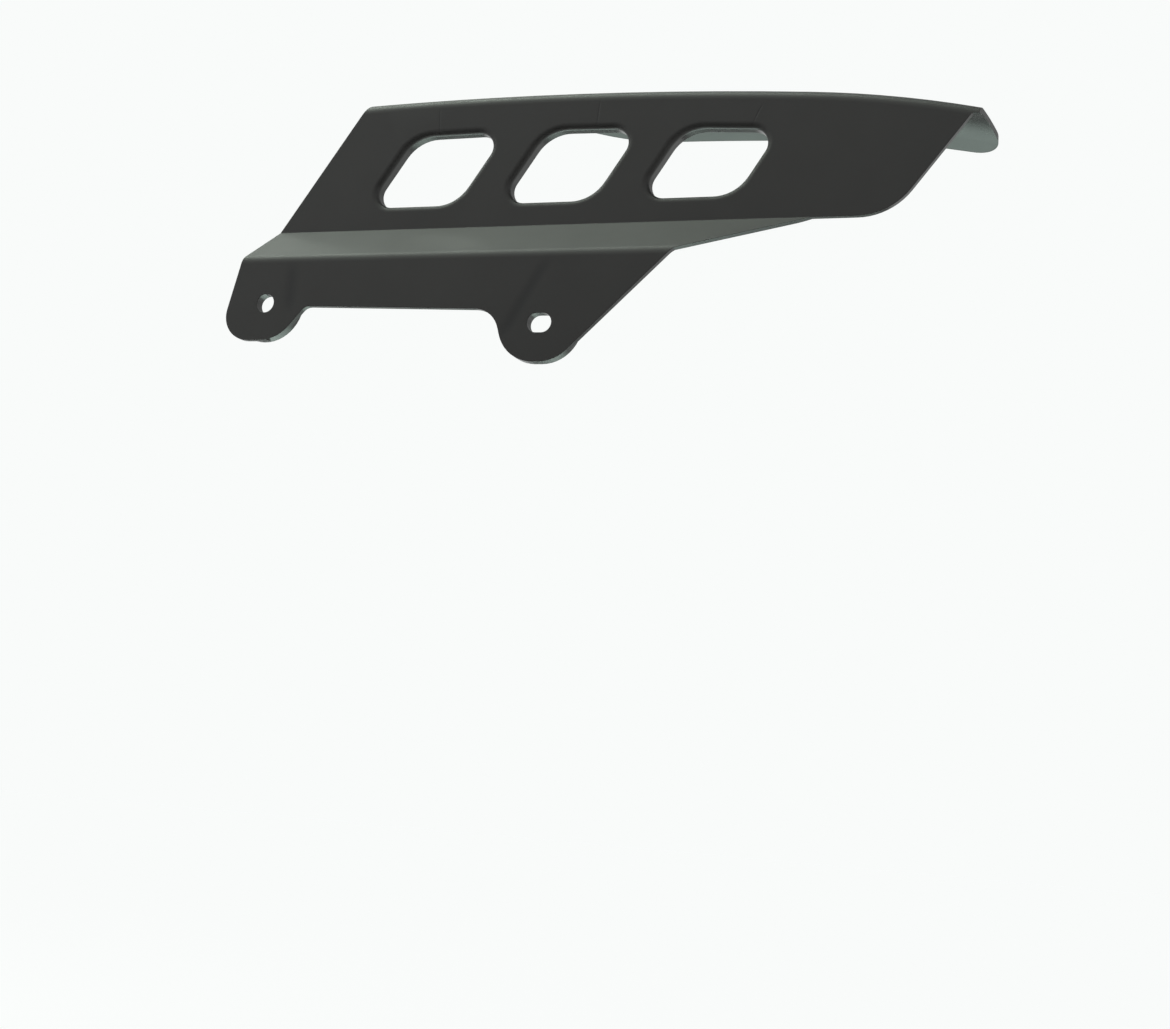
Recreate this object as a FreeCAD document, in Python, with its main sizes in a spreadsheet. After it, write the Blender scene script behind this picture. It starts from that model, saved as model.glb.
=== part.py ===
import FreeCAD, Part
import Sketcher
import math
import os

# Chain guard moulded in one piece from black plastic. X runs to the rear along the guard, Y points
# from the outside in towards the chain, Z is up. The origin is the axis of the front bolt hole, on
# the face of its boss that seats on the swing arm.

# Millimetres. A lean, fall or flare is a run per unit of rise or length.
dimensions = {
    "wall": 2.2,
    "boss_thickness": 4.0,
    # bolt holes and the ears around them
    "bolt_hole": 7.0,
    "slot_travel": 2.0,
    "rear_hole_x": 108.5,
    "rear_hole_drop": 8.5,
    "ear_radius": 13.8,
    "front_ear_flare": 0.8,
    "front_ear_blend": 4.0,
    "front_ear_corner": 10.0,
    "rear_ear_reach": 1.45,
    "rear_ear_flare": 0.32,
    "rear_flank_lean": 1.0,
    "rear_ear_blend": 10.0,
    "waist_front": 1.3,
    "waist_rear": 3.4,
    # outward step between the upper and the lower panel
    "step_height": 31.5,
    "step_depth": 14.0,
    "step_rise": 14.1,
    "bend_radius": 2.5,
    "ledge_bend": 4.5,
    "ledge_corner": 4.5,
    "ledge_end": 199.0,
    # slanted ends
    "front_edge": -6.0,
    "front_lean": 0.61,
    "lower_front_edge": -12.1,
    "lower_front_lean": 0.18,
    "front_corner": 4.0,
    "rear_edge": 226.1,
    "rear_tip": 255.2,
    "rear_corner": 23.0,
    # arched upper edge: a long flat arc and a tighter one towards the rear
    "crest_height": 83.5,
    "crest_x": 75.7,
    "arch_radius": 1642.0,
    "arch_change": 196.1,
    "rear_arch_radius": 379.0,
    "sheet_split": 36.0,
    # flange over the chain
    "flange_depth": 33.0,
    "flange_taper": 3.7,
    "flange_start": 4.0,
    "flange_widens": 50.0,
    "flange_full": 122.5,
    "flange_fall": 0.02,
    "flange_end_fall": 0.23,
    "flange_crown": 90.0,
    "flange_bend": 4.2,
    "flange_blend": 60.0,
    "flange_corner": 10.5,
    "flange_overhang": 4.5,
    # three windows
    "window_first": 22.7,
    "window_width": 36.6,
    "window_pitch": 53.2,
    "window_sill": 9.3,
    "window_head": 14.8,
    "window_acute": 5.7,
    "window_obtuse": 14.5,
    "rim_depth": 5.5,
    "rim_wall": 2.0,
    "rim_round": 2.2,
    # stub of the moulding gate under the front ear
    "gate_x": 2.9,
    "gate_width": 1.0,
    "gate_height": 0.6,
    "gate_depth": 1.6,
    # length that a cut or a sweep runs past the finished part
    "spare": 15.0,
}

doc = FreeCAD.newDocument("chain_guard")
sheet = doc.addObject("Spreadsheet::Sheet", "sizes")
for row, (alias, number) in enumerate(dimensions.items(), start=1):
    sheet.set(f"A{row}", alias)
    sheet.set(f"B{row}", str(number))
    sheet.setAlias(f"B{row}", alias)
doc.recompute()


class Dim:
    # A length together with the sheet expression that gives it.
    def __init__(self, value, text=None):
        self.value = float(value)
        self.text = text or f"({float(value)})"

    def join(self, other, sign, value):
        return Dim(value, f"({self.text} {sign} {other.text})")

    def __add__(self, other):
        other = dim(other)
        return self.join(other, "+", self.value + other.value)

    def __sub__(self, other):
        other = dim(other)
        return self.join(other, "-", self.value - other.value)

    def __mul__(self, other):
        other = dim(other)
        return self.join(other, "*", self.value * other.value)

    def __truediv__(self, other):
        other = dim(other)
        return self.join(other, "/", self.value / other.value)

    def __neg__(self):
        return dim(0) - self


def dim(number):
    return number if isinstance(number, Dim) else Dim(number)


def root(square):
    return Dim(math.sqrt(square.value), f"sqrt({square.text})")


def slant(lean):
    # length of a slanted line for each unit of its rise
    return root(lean * lean + 1)


size = {alias: Dim(sheet.get(alias), f"sizes.{alias}") for alias in dimensions}

wall = size["wall"]
spare = size["spare"]
ear = size["ear_radius"]

# Layers in depth: the lower panel stands nearer to the rider's leg than the upper one.
lower_front = -size["boss_thickness"]
lower_back = lower_front + wall
upper_front = lower_front + size["step_depth"]
upper_back = upper_front + wall

step_top = size["step_height"]
step_foot = step_top - size["step_rise"]
rear_hole_x = size["rear_hole_x"]
rear_hole_z = -size["rear_hole_drop"]
half_travel = size["slot_travel"] / 2
arch_centre = size["crest_height"] - size["arch_radius"]


def arch_height(x):
    reach = x - size["crest_x"]
    return arch_centre + root(size["arch_radius"] * size["arch_radius"] - reach * reach)


# Centre of the tighter rear arc, on the long arc's radius through their common point.
change_height = arch_height(size["arch_change"])
share = size["rear_arch_radius"] / size["arch_radius"]
rear_centre_x = size["arch_change"] + (size["crest_x"] - size["arch_change"]) * share
rear_centre_z = change_height + (arch_centre - change_height) * share


def rear_arch_height(x):
    reach = x - rear_centre_x
    return rear_centre_z + root(size["rear_arch_radius"] * size["rear_arch_radius"] - reach * reach)


rear_rise = rear_arch_height(size["rear_tip"]) - step_top
rear_lean = (size["rear_tip"] - size["rear_edge"]) / rear_rise


def front_edge_x(z):
    return size["front_edge"] + size["front_lean"] * (z - step_top)


def rear_edge_x(z):
    return size["rear_edge"] + rear_lean * (z - step_top)


body = doc.addObject("PartDesign::Body", "chain_guard")
body.Label = "chain_guard"


def sketch_on(role, name, offset):
    # Sketch parallel to an origin plane, moved along that plane's normal.
    plane = next(item for item in body.Origin.OriginFeatures if item.Role == role)
    sketch = body.newObject("Sketcher::SketchObject", name)
    sketch.AttachmentSupport = [(plane, "")]
    sketch.MapMode = "FlatFace"
    sketch.AttachmentOffset = FreeCAD.Placement(FreeCAD.Vector(0, 0, offset.value), FreeCAD.Rotation())
    sketch.setExpression("AttachmentOffset.Base.z", offset.text)
    return sketch


def constrain(sketch, rules):
    # Each rule is a constraint and the length that drives it, or None.
    for rule, length in rules:
        index = sketch.addConstraint(rule)
        if length is not None:
            sketch.setExpression(f"Constraints[{index}]", length.text)


def placed(geometry, end, x, y):
    return [
        (Sketcher.Constraint("DistanceX", -1, 1, geometry, end, x.value), x),
        (Sketcher.Constraint("DistanceY", -1, 1, geometry, end, y.value), y),
    ]


def outline(sketch, corners):
    # Closed polygon. A corner (x, y, radius) is rounded by a tangent arc, a corner (x, y) is sharp.
    count = len(corners)
    vertices = [FreeCAD.Vector(corner[0].value, corner[1].value, 0) for corner in corners]
    ends = []
    arcs = []
    for index, corner in enumerate(corners):
        here = vertices[index]
        back = (vertices[index - 1] - here).normalize()
        ahead = (vertices[(index + 1) % count] - here).normalize()
        if len(corner) == 2:
            ends.append((here, here))
            arcs.append(None)
            continue
        half = back.getAngle(ahead) / 2
        radius = corner[2].value
        start = here + back * (radius / math.tan(half))
        finish = here + ahead * (radius / math.tan(half))
        middle = here + (back + ahead).normalize() * (radius / math.sin(half) - radius)
        ends.append((start, finish))
        arcs.append(Part.Arc(start, middle, finish))
    lines = [
        sketch.addGeometry(Part.LineSegment(ends[index][1], ends[(index + 1) % count][0]))
        for index in range(count)
    ]
    for index, corner in enumerate(corners):
        before, after = lines[index - 1], lines[index]
        if arcs[index] is None:
            rules = [(Sketcher.Constraint("Coincident", before, 2, after, 1), None)]
            constrain(sketch, rules + placed(after, 1, corner[0], corner[1]))
            continue
        arc = sketch.addGeometry(arcs[index])
        apex = sketch.addGeometry(Part.Point(vertices[index]), True)
        first = 1 if sketch.getPoint(arc, 1).distanceToPoint(ends[index][0]) < 1e-6 else 2
        rules = [
            (Sketcher.Constraint("PointOnObject", apex, 1, before), None),
            (Sketcher.Constraint("PointOnObject", apex, 1, after), None),
            (Sketcher.Constraint("Tangent", before, 2, arc, first), None),
            (Sketcher.Constraint("Tangent", arc, 3 - first, after, 1), None),
            (Sketcher.Constraint("Radius", arc, corner[2].value), corner[2]),
        ]
        constrain(sketch, rules + placed(apex, 1, corner[0], corner[1]))


def extrude(kind, name, sketch, length, reverse=False, symmetric=False):
    feature = body.newObject(f"PartDesign::{kind}", name)
    feature.Profile = sketch
    feature.setExpression("Length", length.text)
    feature.Reversed = reverse
    feature.SideType = "Symmetric" if symmetric else "One side"
    doc.recompute()
    return feature


# Upper panel and flange: one section turned about the centres of the arch's two arcs.
sweep_start = size["front_edge"] - spare
sweep_end = size["rear_tip"] + spare
fall, end_fall = size["flange_fall"], size["flange_end_fall"]


def turned_angle(reach, radius):
    # degrees that an arc turns over a horizontal reach from its top
    ratio = reach / radius
    return Dim(math.degrees(math.asin(ratio.value)), f"asin({ratio.text})")


def sheet_section(name, x, z, lean, radius):
    # Section square to the arch, with its origin on the arch and its axis at the centre of the arc.
    sketch = sketch_on("YZ_Plane", name, x)
    sketch.AttachmentOffset = FreeCAD.Placement(
        FreeCAD.Vector(0, z.value, x.value), FreeCAD.Rotation(FreeCAD.Vector(1, 0, 0), lean.value)
    )
    sketch.setExpression("AttachmentOffset.Base.y", z.text)
    sketch.setExpression("AttachmentOffset.Rotation.Angle", lean.text)
    centre = FreeCAD.Vector(0, -radius.value, 0)
    along = FreeCAD.Vector(wall.value, -radius.value, 0)
    axis = sketch.addGeometry(Part.LineSegment(centre, along), True)
    constrain(sketch, placed(axis, 1, dim(0), -radius) + placed(axis, 2, wall, -radius))
    crown_y = upper_front + size["flange_depth"] / 2
    crown_z = -fall * size["flange_depth"] / 2
    tip_y = upper_front + size["flange_depth"] + size["flange_taper"] + spare / 3
    tip_z = crown_z - end_fall * (tip_y - crown_y)
    shift = wall * (slant(end_fall) - slant(fall)) / (end_fall - fall)
    foot = step_top - size["crest_height"] - spare
    outline(sketch, [
        (upper_front, foot),
        (upper_front, dim(0), size["flange_bend"]),
        (crown_y, crown_z, size["flange_crown"]),
        (tip_y, tip_z),
        (tip_y, tip_z - wall * slant(end_fall)),
        (crown_y - shift, crown_z + fall * shift - wall * slant(fall), size["flange_crown"] - wall),
        (upper_back, -fall * wall - wall * slant(fall), size["flange_bend"] - wall),
        (upper_back, foot),
    ])
    return sketch


def turn(name, sketch, angle, reverse=False):
    feature = body.newObject("PartDesign::Revolution", name)
    feature.Profile = sketch
    feature.ReferenceAxis = (sketch, ["Axis0"])
    feature.setExpression("Angle", angle.text)
    feature.Reversed = reverse
    doc.recompute()


change_angle = turned_angle(size["arch_change"] - size["crest_x"], size["arch_radius"])
start_angle = turned_angle(size["crest_x"] - sweep_start, size["arch_radius"])
split_angle = turned_angle(size["crest_x"] - size["sheet_split"], size["arch_radius"])
split_lean = turned_angle(size["sheet_split"] - size["crest_x"], size["arch_radius"])
end_angle = turned_angle(sweep_end - rear_centre_x, size["rear_arch_radius"])
crest_section = sheet_section(
    "crest_section", size["crest_x"], size["crest_height"], dim(0), size["arch_radius"]
)
turn("sheet_ahead", crest_section, split_angle, reverse=True)
turn("sheet_behind", crest_section, change_angle)
front_section = sheet_section(
    "front_section", size["sheet_split"], arch_height(size["sheet_split"]), split_lean, size["arch_radius"]
)
turn("sheet_front", front_section, start_angle - split_angle, reverse=True)
change_section = sheet_section(
    "change_section", size["arch_change"], change_height, change_angle, size["rear_arch_radius"]
)
turn("sheet_rear", change_section, end_angle - change_angle)

# Front end: one slanted cut through panel and flange, rounded where it meets the arch.
trim_low = step_top - spare * 4
trim_high = size["crest_height"] + spare
corner_z = arch_height(front_edge_x(size["crest_height"])) + spare / 100
corner_x = front_edge_x(corner_z)
arch_slope = (size["crest_x"] - corner_x) / size["arch_radius"]
front_trim = sketch_on("XZ_Plane", "front_trim", -upper_front)
outline(front_trim, [
    (front_edge_x(trim_low), trim_low),
    (corner_x, corner_z, size["front_corner"]),
    (corner_x + spare, corner_z + arch_slope * spare),
    (corner_x + spare, trim_high),
    (front_edge_x(trim_low) - spare, trim_high),
    (front_edge_x(trim_low) - spare, trim_low),
])
extrude("Pocket", "front_cut", front_trim, size["flange_depth"] * 4, symmetric=True)

# Lower edge and slanted rear end of the upper panel, cut up to the flange's underside.
rear_lip = rear_arch_height(size["rear_tip"]) - (wall + size["flange_bend"]) / 2
rear_trim = sketch_on("XZ_Plane", "rear_trim", -upper_front)
outline(rear_trim, [
    (size["front_edge"] - spare, step_top),
    (size["rear_edge"], step_top, size["rear_corner"]),
    (rear_edge_x(rear_lip), rear_lip),
    (sweep_end + spare, rear_lip),
    (sweep_end + spare, trim_low),
    (size["front_edge"] - spare, trim_low),
])
extrude("Pocket", "rear_cut", rear_trim, wall + size["flange_bend"])

# Plan of the flange: narrow in front, widest over the second window, with a rounded rear corner.
flange_edge = upper_front + size["flange_depth"]
plan = sketch_on("XY_Plane", "flange_plan", size["crest_height"])
outline(plan, [
    (size["front_edge"], upper_front + size["flange_start"]),
    (size["flange_widens"], upper_front + size["flange_start"], size["flange_blend"]),
    (size["flange_full"], flange_edge + size["flange_taper"], size["flange_blend"]),
    (size["rear_tip"] + size["flange_overhang"], flange_edge, size["flange_corner"]),
    (size["rear_tip"], upper_front),
    (size["rear_tip"], upper_front - spare),
    (sweep_end + spare * 2, upper_front - spare),
    (sweep_end + spare * 2, flange_edge + spare),
    (size["front_edge"], flange_edge + spare),
])
extrude("Pocket", "flange_cut", plan, size["crest_height"] * 2, symmetric=True)

# Ledge and lower panel: a folded section along the guard, then trimmed to the lower outline.
ledge = root(size["step_depth"] * size["step_depth"] + size["step_rise"] * size["step_rise"])
fold_shift = wall * (ledge - size["step_rise"]) / size["step_depth"]
fold_inside = size["bend_radius"] - wall
lowest = rear_hole_z - ear - spare
fold_start = size["lower_front_edge"] - spare
fold = sketch_on("YZ_Plane", "fold_section", fold_start)
outline(fold, [
    (upper_front, step_top + size["bend_radius"]),
    (upper_front, step_top, fold_inside),
    (lower_front, step_foot, size["ledge_bend"]),
    (lower_front, lowest),
    (lower_back, lowest),
    (lower_back, step_foot - fold_shift, size["ledge_bend"] - wall),
    (upper_back, step_top - fold_shift, size["bend_radius"]),
    (upper_back, step_top + size["bend_radius"]),
])
extrude("Pad", "folded_sheet", fold, size["ledge_end"] - fold_start)

front_flare = size["front_ear_flare"]
rear_flare = size["rear_ear_flare"]
flank = size["rear_flank_lean"]
waist_front = size["waist_front"]
waist_rear = size["waist_rear"]
front_ear_foot = size["lower_front_edge"] - size["lower_front_lean"] * (step_foot + ear)
front_ear_side = ear * slant(front_flare)
rear_ear_side = rear_hole_x - size["rear_ear_reach"] - ear * slant(rear_flare)
flank_side = rear_hole_x + half_travel + ear * slant(flank)
trim_left = fold_start - spare
trim_right = size["ledge_end"] + spare
trim_top = step_top + spare
lower_trim = sketch_on("XZ_Plane", "lower_trim", dim(0))
outline(lower_trim, [
    (trim_left, trim_top),
    (front_edge_x(trim_top), trim_top),
    (size["front_edge"], step_top),
    (size["lower_front_edge"], step_foot, size["ledge_corner"]),
    (front_ear_foot, -ear, size["front_ear_corner"]),
    (front_ear_side - front_flare * ear, -ear, ear),
    (front_ear_side - front_flare * waist_front, -waist_front, size["front_ear_blend"]),
    (rear_ear_side + rear_flare * (waist_rear + rear_hole_z), -waist_rear, size["rear_ear_blend"]),
    (rear_ear_side + rear_flare * ear, rear_hole_z - ear, ear),
    (flank_side - flank * ear, rear_hole_z - ear, ear),
    (flank_side + flank * (step_foot - rear_hole_z), step_foot),
    (size["ledge_end"], step_top),
    (trim_right, step_top),
    (trim_right, lowest - spare),
    (trim_left, lowest - spare),
])
extrude("Pocket", "lower_cut", lower_trim, size["flange_depth"] * 4, symmetric=True)


def window(index, margin):
    # Slanted opening, grown by a margin. Its head follows the arch and its sill the step.
    lean = size["front_lean"]
    left = size["window_first"] + size["window_pitch"] * index - margin * slant(lean)
    right = left + size["window_width"] + margin * slant(lean) * 2
    sill = step_top + size["window_sill"] - margin
    rise = size["crest_height"] - size["window_head"] - step_top
    heads = [arch_height(side + lean * rise) - size["window_head"] + margin for side in (left, right)]
    return [
        (left + lean * (sill - step_top), sill, size["window_acute"] + margin),
        (right + lean * (sill - step_top), sill, size["window_obtuse"] + margin),
        (right + lean * (heads[1] - step_top), heads[1], size["window_acute"] + margin),
        (left + lean * (heads[0] - step_top), heads[0], size["window_obtuse"] + margin),
    ]


# Windows with a collar behind the panel and a rolled outer edge.
collars = sketch_on("XZ_Plane", "collars", -upper_back)
openings = sketch_on("XZ_Plane", "openings", -upper_front)
for index in range(3):
    outline(collars, window(index, size["rim_wall"]))
    outline(openings, window(index, dim(0)))
extrude("Pad", "window_collars", collars, size["rim_depth"] - wall, reverse=True)
extrude("Pocket", "windows", openings, size["rim_depth"] * 2)

opened = body.Tip
shape = opened.Shape
level_faces = [face for face in shape.Faces if abs(face.CenterOfMass.y - upper_front.value) < 0.01]
panel_face = max((face for face in level_faces if face.normalAt(0, 0).y < -0.999), key=lambda face: face.Area)
inner_wires = [wire for wire in panel_face.Wires if not wire.isSame(panel_face.OuterWire)]
rims = [edge for wire in inner_wires for edge in wire.Edges]
rim_names = [
    f"Edge{number}"
    for number, edge in enumerate(shape.Edges, start=1)
    if any(edge.isSame(rim) for rim in rims)
]
rolled = body.newObject("PartDesign::Fillet", "rolled_rims")
rolled.Base = (opened, rim_names)
rolled.setExpression("Radius", size["rim_round"].text)
doc.recompute()


def obround(sketch, x, z, travel, radius):
    centres = [x - travel / 2, x + travel / 2]
    up = FreeCAD.Vector(0, radius.value, 0)
    out = FreeCAD.Vector(radius.value, 0, 0)
    near, far = [FreeCAD.Vector(centre.value, z.value, 0) for centre in centres]
    left = sketch.addGeometry(Part.Arc(near + up, near - out, near - up))
    right = sketch.addGeometry(Part.Arc(far - up, far + out, far + up))
    top = sketch.addGeometry(Part.LineSegment(near + up, far + up))
    bottom = sketch.addGeometry(Part.LineSegment(near - up, far - up))
    constrain(sketch, placed(left, 3, centres[0], z) + placed(right, 3, centres[1], z) + [
        (Sketcher.Constraint("Radius", left, radius.value), radius),
        (Sketcher.Constraint("Equal", left, right), None),
        (Sketcher.Constraint("Tangent", left, 1, top, 1), None),
        (Sketcher.Constraint("Tangent", left, 2, bottom, 1), None),
        (Sketcher.Constraint("Tangent", right, 2, top, 2), None),
        (Sketcher.Constraint("Tangent", right, 1, bottom, 2), None),
    ])


def round_hole(sketch, radius):
    circle = sketch.addGeometry(Part.Circle(FreeCAD.Vector(), FreeCAD.Vector(0, 0, 1), radius.value))
    constrain(sketch, [
        (Sketcher.Constraint("Coincident", circle, 3, -1, 1), None),
        (Sketcher.Constraint("Radius", circle, radius.value), radius),
    ])


# Bosses behind the ears, a round hole in front and an oblong one at the rear.
bosses = sketch_on("XZ_Plane", "bosses", -lower_back)
round_hole(bosses, ear)
rear_boss_x = rear_hole_x + (half_travel - size["rear_ear_reach"]) / 2
obround(bosses, rear_boss_x, rear_hole_z, half_travel + size["rear_ear_reach"], ear)
extrude("Pad", "bolt_bosses", bosses, size["boss_thickness"] - wall, reverse=True)
holes = sketch_on("XZ_Plane", "holes", -lower_front)
round_hole(holes, size["bolt_hole"] / 2)
obround(holes, rear_hole_x, rear_hole_z, size["slot_travel"], size["bolt_hole"] / 2)
extrude("Pocket", "bolt_holes", holes, size["boss_thickness"] * 2)

# Stub that the moulding gate leaves under the front ear.
gate = sketch_on("XZ_Plane", "gate", -lower_front)
gate_left = size["gate_x"] - size["gate_width"] / 2
gate_right = gate_left + size["gate_width"]
gate_low = -ear - size["gate_height"] / 2
gate_high = -ear + size["gate_height"]
outline(gate, [
    (gate_left, gate_low),
    (gate_right, gate_low),
    (gate_right, gate_high),
    (gate_left, gate_high),
])
extrude("Pad", "gate_stub", gate, size["gate_depth"], reverse=True)

bad = [item.Name for item in doc.Objects if "Invalid" in item.State or "Error" in item.State]
if bad or body.Shape.isNull() or not body.Shape.isValid():
    raise RuntimeError(f"broken features: {bad}")
os.makedirs("parts", exist_ok=True)
body.Shape.exportStep(f"parts/{body.Label}.step")
print(body.Label, body.Shape.BoundBox, round(body.Shape.Volume / 1000, 1), "cm3", len(body.Shape.Faces))
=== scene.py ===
import math

import bmesh
import bpy
from mathutils import Matrix, Vector


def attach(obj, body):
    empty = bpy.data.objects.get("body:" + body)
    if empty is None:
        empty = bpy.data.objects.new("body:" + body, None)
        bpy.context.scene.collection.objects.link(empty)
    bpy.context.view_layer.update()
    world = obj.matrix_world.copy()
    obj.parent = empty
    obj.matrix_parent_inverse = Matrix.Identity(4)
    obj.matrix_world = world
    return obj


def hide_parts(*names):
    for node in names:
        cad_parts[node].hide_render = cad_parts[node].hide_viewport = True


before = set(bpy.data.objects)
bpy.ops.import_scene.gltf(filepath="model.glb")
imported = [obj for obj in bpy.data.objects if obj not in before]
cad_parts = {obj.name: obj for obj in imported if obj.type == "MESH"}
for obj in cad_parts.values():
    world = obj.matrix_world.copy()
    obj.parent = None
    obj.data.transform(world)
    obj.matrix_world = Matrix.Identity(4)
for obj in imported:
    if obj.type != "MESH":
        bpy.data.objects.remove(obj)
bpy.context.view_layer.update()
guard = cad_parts["chain_guard"]
mm = 0.001  # the scene is in metres
print("frame loaded:", sorted(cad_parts))


def linear(hexCode):  # sRGB hex to the linear RGBA that the sockets take
    parts = [int(hexCode[i:i + 2], 16) / 255 for i in (1, 3, 5)]
    return [c / 12.92 if c <= 0.04045 else ((c + 0.055) / 1.055) ** 2.4 for c in parts] + [1.0]


def put(tree, kind, inputs=None, **settings):  # one node with its settings, values and links
    node = tree.nodes.new(kind)
    for name, value in settings.items():
        setattr(node, name, value)
    for socket, value in (inputs or {}).items():
        if isinstance(value, bpy.types.NodeSocket):
            tree.links.new(value, node.inputs[socket])
        else:
            node.inputs[socket].default_value = value
    return node


def freshTree(owner):  # a material or a world with an empty node tree
    owner.use_nodes = True
    owner.node_tree.nodes.clear()
    return owner.node_tree


# Black polypropylene, injection moulded in a spark-eroded mould: a deep black body colour under a fine,
# even matt grain, so it is dark face on and turns grey where light is met at a low angle.
plastic = {
    "body": "#1a1918",
    "cloud": "#201f1d",  # slow change of shade along the flow of the melt
    "cloudMm": 45.0,
    "markAndSinkShade": "#0c0c0c",  # weld lines are a little deeper in tone; over the sink hollows this darker colour is painted shade
    "roughness": (0.53, 0.56),
    "innerShine": 0.27,  # the chain side is left smooth by the mould's plain core
    "inward": (0.0, 0.707, -0.707),  # the way that the chain side faces
    "inwardSpan": (0.1, 0.6),  # from where it begins to turn that way to where it is fully on that side
    "patchMm": 14.0,
    "patchSpan": (0.3, 0.7),  # the noise seldom leaves this range
    "ior": 1.52,
    "grainMm": 0.7,  # a real grain is nearer 0.2 mm; drawn as coarse as it needs to show
    "grainDepthMm": 0.010,
    "edgeRoundMm": 0.35,
    "edgeSamples": 8,
    # fine lines where the melt met again above each window: x and z of the upper and lower end, in mm
    "welds": {
        "lines": [
            ((54.9, 78.5), (55.7, 69.0)),
            ((118.7, 78.5), (118.2, 69.0)),
            ((179.5, 73.5), (176.6, 67.0)),
        ],
        "widthMm": 0.45,
        "fadeMm": 1.5,
        "depthMm": 0.05,
        "behindMm": 11.2,  # the upper panel's outer face lies in front of this y, so none shows inside
    },
    # soft hollows where the wall behind changes its thickness near the two bosses; the hollow is a bump,
    # and the darker colour laid over it is painted shade
    "sinksAndShade": {
        "lines": [((108.9, 13.0), (95.5, -12.5)), ((9.6, 13.0), (10.4, -2.0))],
        "widthMm": 4.0,
        "fadeMm": 4.0,
        "depthMm": 0.06,
        "behindMm": -3.0,  # as above, for the lower panel
    },
}


def lineMask(tree, axes, ends, width, fade):  # 1 on a line in the XZ plane, falling to 0 at its width
    (xTop, zTop), (xLow, zLow) = ends
    lean = (xTop - xLow) / (zTop - zLow)
    level = put(tree, "ShaderNodeMath", {0: axes["Z"], 1: -lean, 2: axes["X"]}, operation="MULTIPLY_ADD")
    off = put(tree, "ShaderNodeMath", {0: level.outputs[0], 1: xLow - lean * zLow}, operation="SUBTRACT")
    away = put(tree, "ShaderNodeMath", {0: off.outputs[0]}, operation="ABSOLUTE")
    side = put(tree, "ShaderNodeMapRange", {
        "Value": away.outputs[0], "From Min": 0.0, "From Max": width, "To Min": 1.0, "To Max": 0.0,
    }, interpolation_type="SMOOTHSTEP")
    low = put(tree, "ShaderNodeMapRange", {
        "Value": axes["Z"], "From Min": zLow - fade, "From Max": zLow + fade,
    }, interpolation_type="SMOOTHSTEP")
    top = put(tree, "ShaderNodeMapRange", {
        "Value": axes["Z"], "From Min": zTop - fade, "From Max": zTop + fade, "To Min": 1.0, "To Max": 0.0,
    }, interpolation_type="SMOOTHSTEP")
    span = put(tree, "ShaderNodeMath", {0: low.outputs[0], 1: top.outputs[0]}, operation="MULTIPLY")
    mask = put(tree, "ShaderNodeMath", {0: side.outputs[0], 1: span.outputs[0]}, operation="MULTIPLY")
    return mask.outputs[0]


def marksOn(tree, axes, marks):  # all the lines together, on the outer face alone
    outer = put(tree, "ShaderNodeMath", {0: axes["Y"], 1: marks["behindMm"]}, operation="LESS_THAN")
    anyLine = 0.0
    for ends in marks["lines"]:
        mask = lineMask(tree, axes, ends, marks["widthMm"], marks["fadeMm"])
        anyLine = put(tree, "ShaderNodeMath", {0: anyLine, 1: mask}, operation="MAXIMUM").outputs[0]
    return put(tree, "ShaderNodeMath", {0: outer.outputs[0], 1: anyLine}, operation="MULTIPLY").outputs[0]


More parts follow.
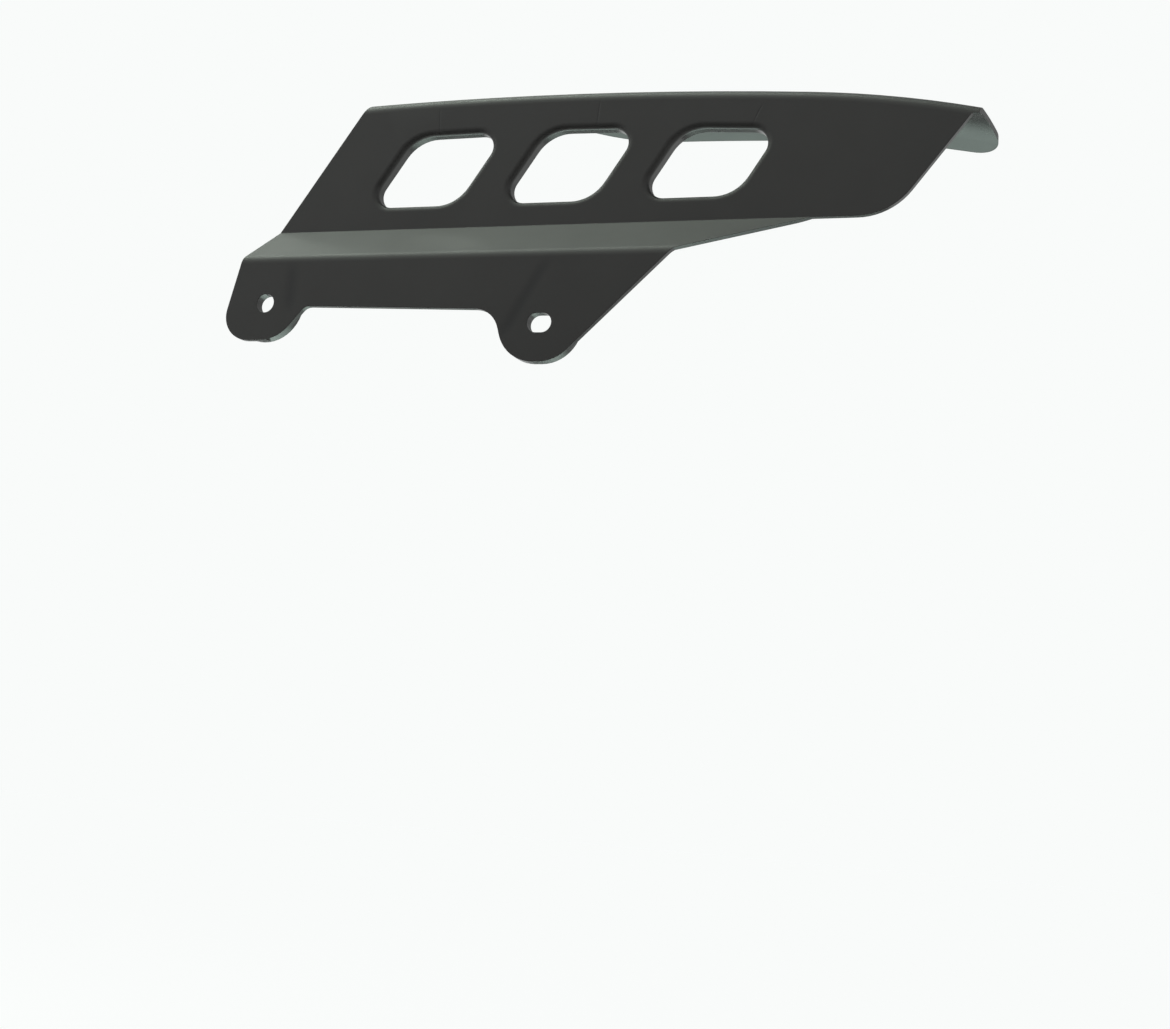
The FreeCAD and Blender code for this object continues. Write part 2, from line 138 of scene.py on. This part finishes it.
def makePlastic(look):
    material = bpy.data.materials.new("moulded_black_polypropylene")
    tree = freshTree(material)
    place = put(tree, "ShaderNodeTexCoord").outputs["Object"]
    inMm = put(tree, "ShaderNodeVectorMath", {0: place, "Scale": 1 / mm}, operation="SCALE").outputs[0]
    axes = put(tree, "ShaderNodeSeparateXYZ", {0: inMm}).outputs
    welds = marksOn(tree, axes, look["welds"])
    sinksAndShade = marksOn(tree, axes, look["sinksAndShade"])
    marks = put(tree, "ShaderNodeMath", {0: welds, 1: sinksAndShade}, operation="MAXIMUM").outputs[0]

    cloud = put(tree, "ShaderNodeTexNoise", {"Vector": inMm, "Scale": 1 / look["cloudMm"], "Detail": 2.0})
    shade = put(tree, "ShaderNodeMix", {
        "Factor": cloud.outputs["Fac"], 6: linear(look["body"]), 7: linear(look["cloud"]),
    }, data_type="RGBA").outputs[2]
    # darker on the weld lines, their own tone, and on the sink hollows, where the darkening is painted
    # shade
    shade = put(tree, "ShaderNodeMix", {
        "Factor": marks, 6: shade, 7: linear(look["markAndSinkShade"]),
    }, data_type="RGBA").outputs[2]

    patch = put(tree, "ShaderNodeTexNoise", {"Vector": inMm, "Scale": 1 / look["patchMm"], "Detail": 4.0})
    dull = put(tree, "ShaderNodeMapRange", {
        "Value": patch.outputs["Fac"], "From Min": look["patchSpan"][0], "From Max": look["patchSpan"][1],
        "To Min": look["roughness"][0], "To Max": look["roughness"][1],
    }).outputs[0]
    normal = put(tree, "ShaderNodeNewGeometry").outputs["Normal"]
    facing = put(tree, "ShaderNodeVectorTransform", {0: normal}, vector_type="NORMAL", convert_to="OBJECT")
    inward = put(tree, "ShaderNodeVectorMath", {
        0: facing.outputs[0], 1: look["inward"],
    }, operation="DOT_PRODUCT").outputs["Value"]
    inner = put(tree, "ShaderNodeMapRange", {
        "Value": inward, "From Min": look["inwardSpan"][0], "From Max": look["inwardSpan"][1],
        "To Min": 0.0, "To Max": look["innerShine"],
    }, interpolation_type="SMOOTHSTEP").outputs[0]
    dull = put(tree, "ShaderNodeMath", {0: dull, 1: inner}, operation="SUBTRACT").outputs[0]

    rounded = put(tree, "ShaderNodeBevel", {
        "Radius": look["edgeRoundMm"] * mm,
    }, samples=look["edgeSamples"]).outputs[0]
    sunk = put(tree, "ShaderNodeBump", {
        "Height": sinksAndShade, "Distance": look["sinksAndShade"]["depthMm"] * mm, "Normal": rounded,
    }, invert=True).outputs[0]
    welded = put(tree, "ShaderNodeBump", {
        "Height": welds, "Distance": look["welds"]["depthMm"] * mm, "Normal": sunk,
    }, invert=True).outputs[0]
    grain = put(tree, "ShaderNodeTexNoise", {"Vector": inMm, "Scale": 1 / look["grainMm"], "Detail": 3.0})
    grained = put(tree, "ShaderNodeBump", {
        "Height": grain.outputs["Fac"], "Distance": look["grainDepthMm"] * mm, "Normal": welded,
    }).outputs[0]
    shader = put(tree, "ShaderNodeBsdfPrincipled", {
        "Base Color": shade, "Roughness": dull, "IOR": look["ior"], "Normal": grained,
    })
    put(tree, "ShaderNodeOutputMaterial", {"Surface": shader.outputs[0]})
    return material


# The faceted guard has some crossed triangles on the round bend along its top edge, which show as nicks.
# A copy with these turned the right way stands for it, and every point stays in its place.
bend = {
    "height": (0.076, -0.045),  # the bend lies above this height at x = 0, which changes by this along x
    "depth": 0.0166,  # and in front of this y
    "outside": (0.8, 0.15, 0.03),  # its outer faces lean less than this in x and y, and more than this in z
    "hollow": math.radians(2),  # it is round both ways, so a hollow edge there belongs to a crossed pair
    "mostTurns": 200,
    "merge": 1e-6,  # corners nearer than this are one point
    "soft": math.radians(30),  # faces that meet within this angle are shaded as one
}


def isCrossed(edge, look):
    if len(edge.link_faces) != 2 or edge.is_convex:
        return False
    (base, slope), (leanX, leanY, leanZ) = look["height"], look["outside"]
    inBend = all(v.co.z > base + slope * v.co.x and v.co.y < look["depth"] for v in edge.verts)
    normals = [face.normal for face in edge.link_faces]
    outside = all(abs(n.x) < leanX and n.y < leanY and n.z > leanZ for n in normals)
    return inBend and outside and edge.calc_face_angle() > look["hollow"]


def turnCrossed(shell, look):  # turns the worst edge first, and gives the points that it touched
    touched = set()
    for _ in range(look["mostTurns"]):
        crossed = [edge for edge in shell.edges if isCrossed(edge, look)]
        if not crossed:
            break
        turned = bmesh.utils.edge_rotate(max(crossed, key=lambda edge: edge.calc_face_angle()), True)
        shell.normal_update()
        touched.update(v for face in turned.link_faces for v in face.verts)
    return touched


def makeShell(source, look):
    shell = bmesh.new()
    shell.from_mesh(source)
    shading = shell.loops.layers.float_vector.new("shading")  # carries the true surface normals along
    for face, polygon in zip(shell.faces, source.polygons):
        for corner, index in zip(face.loops, polygon.loop_indices):
            corner[shading] = source.corner_normals[index].vector
        face.smooth = True
    bmesh.ops.remove_doubles(shell, verts=shell.verts, dist=look["merge"])
    shell.normal_update()
    touched = turnCrossed(shell, look)
    for vertex in touched:
        for corner in vertex.link_loops:
            near = [c for c in vertex.link_loops if c.face.normal.angle(corner.face.normal) < look["soft"]]
            corner[shading] = sum((c.face.normal * c.calc_angle() for c in near), Vector()).normalized()
    normals = [corner[shading].copy() for face in shell.faces for corner in face.loops]
    shell.loops.layers.float_vector.remove(shading)
    mesh = bpy.data.meshes.new("guard_shell")
    shell.to_mesh(mesh)
    shell.free()
    mesh.normals_split_custom_set(normals)
    print("bend mended at", len(touched), "points")
    return mesh


guardShell = bpy.data.objects.new("guard_shell", makeShell(guard.data, bend))
bpy.context.collection.objects.link(guardShell)
guardShell.data.materials.clear()
guardShell.data.materials.append(makePlastic(plastic))
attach(guardShell, "root")
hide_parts("chain_guard")
print("plastic on the guard:", len(guardShell.data.polygons), "faces")


# Pale floor well below the guard, which hangs by its bolt holes and is seen from a little below.
stageSet = {
    "floorHeight": -0.34,
    "floorHalf": 15.0,
    "floorColour": "#e4e5e5",
    "white": "#f9fbfa",  # what the camera and the gloss of the plastic see past everything
    "roomColour": "#f4f5f3",
    "roomLight": 0.65,
    "zenith": 0.35,  # brightness of the room straight overhead, against 1 near the floor
    "zenithSpan": (0.5, 0.9),  # it falls off between these, where 0 is level and 1 straight up
    # long strip overhead, just in front of the upper panel, so that the ledge is lit right into its corner
    "strip": {
        "place": (-0.44, -0.05, 1.00), "aim": (0.08, 0.00, 0.03),
        "size": (1.30, 0.16), "power": 11.0, "colour": "#f2fff2",
    },
    # weak fill that lies on the floor behind the guard, as white paper would, for the flange's underside
    "fill": {
        "place": (-0.01, 0.53, -0.335), "aim": (-0.01, 0.53, 0.00),
        "size": (0.60, 0.34), "power": 1.10, "colour": "#dcfff0",
    },
    # faint lamp behind on the left, which reaches the ledge past the panel's sloping front edge
    "rear": {
        "place": (-0.40, 0.30, 0.95), "aim": (0.00, 0.00, 0.03),
        "size": (0.50, 0.20), "power": 0.8, "colour": "#f2fff2",
    },
    # black cards in front, below and behind, seen only in the plastic's gloss: a painted dark reflection
    # that draws the dark edges into the rolled rims
    "reflectedShadeColour": "#141414",
    "cards": {
        "front_card": {"place": (0.24, -0.44, -0.18), "aim": (0.117, 0.009, 0.040), "size": (0.95, 0.52)},
        "low_card": {"place": (-0.06, -0.27, -0.30), "aim": (-0.06, -0.27, 0.00), "size": (0.46, 0.34)},
        "back_card": {"place": (-0.22, 1.17, -0.335), "aim": (-0.22, 1.17, 0.00), "size": (1.26, 0.86)},
    },
}


def whiteFor(tree):  # 1 for what the camera, gloss and glass see
    path = put(tree, "ShaderNodeLightPath").outputs
    seen = path["Is Camera Ray"]
    for kind in ("Is Glossy Ray", "Is Transmission Ray"):
        seen = put(tree, "ShaderNodeMath", {0: seen, 1: path[kind]}, operation="MAXIMUM").outputs[0]
    return seen


def aimed(place, aim):  # stands at a place, faces the aim and keeps its long side along the guard
    back = (Vector(place) - Vector(aim)).normalized()
    right = (Vector((1, 0, 0)) - back.x * back).normalized()
    turn = Matrix((right, back.cross(right), back)).transposed().to_4x4()
    return Matrix.Translation(place) @ turn


def flatPiece(name, turn, size, material):
    w, h = size[0] / 2, size[1] / 2
    mesh = bpy.data.meshes.new(name)
    corners = [turn @ Vector((x, y, 0)) for x, y in ((-w, -h), (w, -h), (w, h), (-w, h))]
    mesh.from_pydata(corners, [], [(0, 1, 2, 3)])
    mesh.materials.append(material)
    piece = bpy.data.objects.new(name, mesh)
    bpy.context.collection.objects.link(piece)
    return piece


def stripOnFloor(tree, look, floor):  # what the strip adds to the floor, as if it all came from its middle
    strip = look["strip"]
    place = Vector(strip["place"])
    beam = (Vector(strip["aim"]) - place).normalized()
    spot = put(tree, "ShaderNodeTexCoord").outputs["Object"]
    way = put(tree, "ShaderNodeVectorMath", {0: spot, 1: place}, operation="SUBTRACT").outputs[0]
    along = put(tree, "ShaderNodeVectorMath", {0: way, 1: beam}, operation="DOT_PRODUCT").outputs["Value"]
    square = put(tree, "ShaderNodeVectorMath", {0: way, 1: way}, operation="DOT_PRODUCT").outputs["Value"]
    fourth = put(tree, "ShaderNodeMath", {0: square, 1: square}, operation="MULTIPLY").outputs[0]
    fall = put(tree, "ShaderNodeMath", {0: along, 1: fourth}, operation="DIVIDE", use_clamp=True).outputs[0]
    drop = place.z - look["floorHeight"]
    strength = strip["power"] * drop / math.pi ** 2  # the lamp and the matt floor both spread light evenly
    colour = [strength * a * b for a, b in zip(linear(strip["colour"])[:3], floor)]
    return put(tree, "ShaderNodeVectorMath", {0: colour, "Scale": fall}, operation="SCALE").outputs[0]


def makeFloor(look):
    material = bpy.data.materials.new("pale_matt_floor")
    tree = freshTree(material)
    floor, room, white = (linear(look[name])[:3] for name in ("floorColour", "roomColour", "white"))
    # glow that the lit floor lacks to meet the room's white, so that no horizon shows and the shadow stays
    short = [w - f * r * look["roomLight"] for w, f, r in zip(white, floor, room)]
    matt = put(tree, "ShaderNodeBsdfDiffuse", {"Color": linear(look["floorColour"])})
    lift = put(tree, "ShaderNodeVectorMath", {
        0: short, 1: stripOnFloor(tree, look, floor),
    }, operation="SUBTRACT").outputs[0]
    lift = put(tree, "ShaderNodeVectorMath", {0: lift, 1: (0.0, 0.0, 0.0)}, operation="MAXIMUM").outputs[0]
    glow = put(tree, "ShaderNodeEmission", {"Color": lift, "Strength": whiteFor(tree)})
    both = put(tree, "ShaderNodeAddShader", {0: matt.outputs[0], 1: glow.outputs[0]})
    put(tree, "ShaderNodeOutputMaterial", {"Surface": both.outputs[0]})
    side = 2 * look["floorHalf"]
    flatPiece("floor", Matrix.Translation((0, 0, look["floorHeight"])), (side, side), material)


def makeRoom(look):
    world = bpy.data.worlds.new("studio")
    bpy.context.scene.world = world
    tree = freshTree(world)
    room = put(tree, "ShaderNodeBackground", {
        "Color": linear(look["roomColour"]), "Strength": look["roomLight"],
    })
    toward = put(tree, "ShaderNodeTexCoord").outputs["Generated"]
    height = put(tree, "ShaderNodeSeparateXYZ", {0: toward}).outputs["Z"]
    level = put(tree, "ShaderNodeMapRange", {
        "Value": height, "From Min": look["zenithSpan"][0], "From Max": look["zenithSpan"][1],
        "To Min": 1.0, "To Max": look["zenith"],
    }, interpolation_type="SMOOTHSTEP").outputs[0]
    white = put(tree, "ShaderNodeBackground", {"Color": linear(look["white"]), "Strength": level})
    mix = put(tree, "ShaderNodeMixShader", {0: whiteFor(tree), 1: room.outputs[0], 2: white.outputs[0]})
    put(tree, "ShaderNodeOutputWorld", {"Surface": mix.outputs[0]})


def makeLamp(name, look):
    lamp = bpy.data.lights.new(name, "AREA")
    lamp.shape = "RECTANGLE"
    lamp.size, lamp.size_y = look["size"]
    lamp.energy = look["power"]
    lamp.color = linear(look["colour"])[:3]
    box = bpy.data.objects.new(name, lamp)
    bpy.context.collection.objects.link(box)
    box.matrix_world = aimed(look["place"], look["aim"])
    box.visible_camera = False


def makeCards(look):
    material = bpy.data.materials.new("reflected_shade_card")
    tree = freshTree(material)
    matt = put(tree, "ShaderNodeBsdfDiffuse", {"Color": linear(look["reflectedShadeColour"])})
    put(tree, "ShaderNodeOutputMaterial", {"Surface": matt.outputs[0]})
    for name, card in look["cards"].items():
        piece = flatPiece(name, aimed(card["place"], card["aim"]), card["size"], material)
        piece.visible_camera = False  # only there to be mirrored in the plastic, as a painted dark reflection
        piece.visible_diffuse = False
        piece.visible_shadow = False


makeFloor(stageSet)
makeRoom(stageSet)
for lampName in ("strip", "fill", "rear"):
    makeLamp(lampName, stageSet[lampName])
makeCards(stageSet)
print("stage and light ready")


# Camera fitted to the holes, windows and bends: 58 mm lens, low and to the right of the guard.
cameraSet = {
    "azimuth": 21.32,
    "elevation": -17.79,
    "roll": 4.94,
    "target": (0.11737, 0.00896, 0.03450),
    "distance": 0.67034,
    "lens": 57.988,
    "sensor": 36.0,
    "clip": (0.01, 100.0),
    "shift": (-0.00085, -0.256),  # the guard stands in the upper third of the frame
}


def makeCamera(look):
    az, el, roll = (math.radians(look[name]) for name in ("azimuth", "elevation", "roll"))
    back = Vector((math.sin(az) * math.cos(el), -math.cos(az) * math.cos(el), math.sin(el)))
    level = Vector((math.cos(az), math.sin(az), 0))
    right = math.cos(roll) * level + math.sin(roll) * back.cross(level)
    up = back.cross(right)
    lens = bpy.data.cameras.new("camera")
    lens.sensor_width = look["sensor"]
    lens.lens = look["lens"]
    lens.shift_x, lens.shift_y = look["shift"]
    lens.clip_start, lens.clip_end = look["clip"]
    camera = bpy.data.objects.new("camera", lens)
    bpy.context.collection.objects.link(camera)
    turn = Matrix((right, up, back)).transposed().to_4x4()
    camera.matrix_world = Matrix.Translation(Vector(look["target"]) + look["distance"] * back) @ turn
    bpy.context.scene.camera = camera


makeCamera(cameraSet)
bpy.context.scene.view_settings.view_transform = "Standard"
print("camera set")
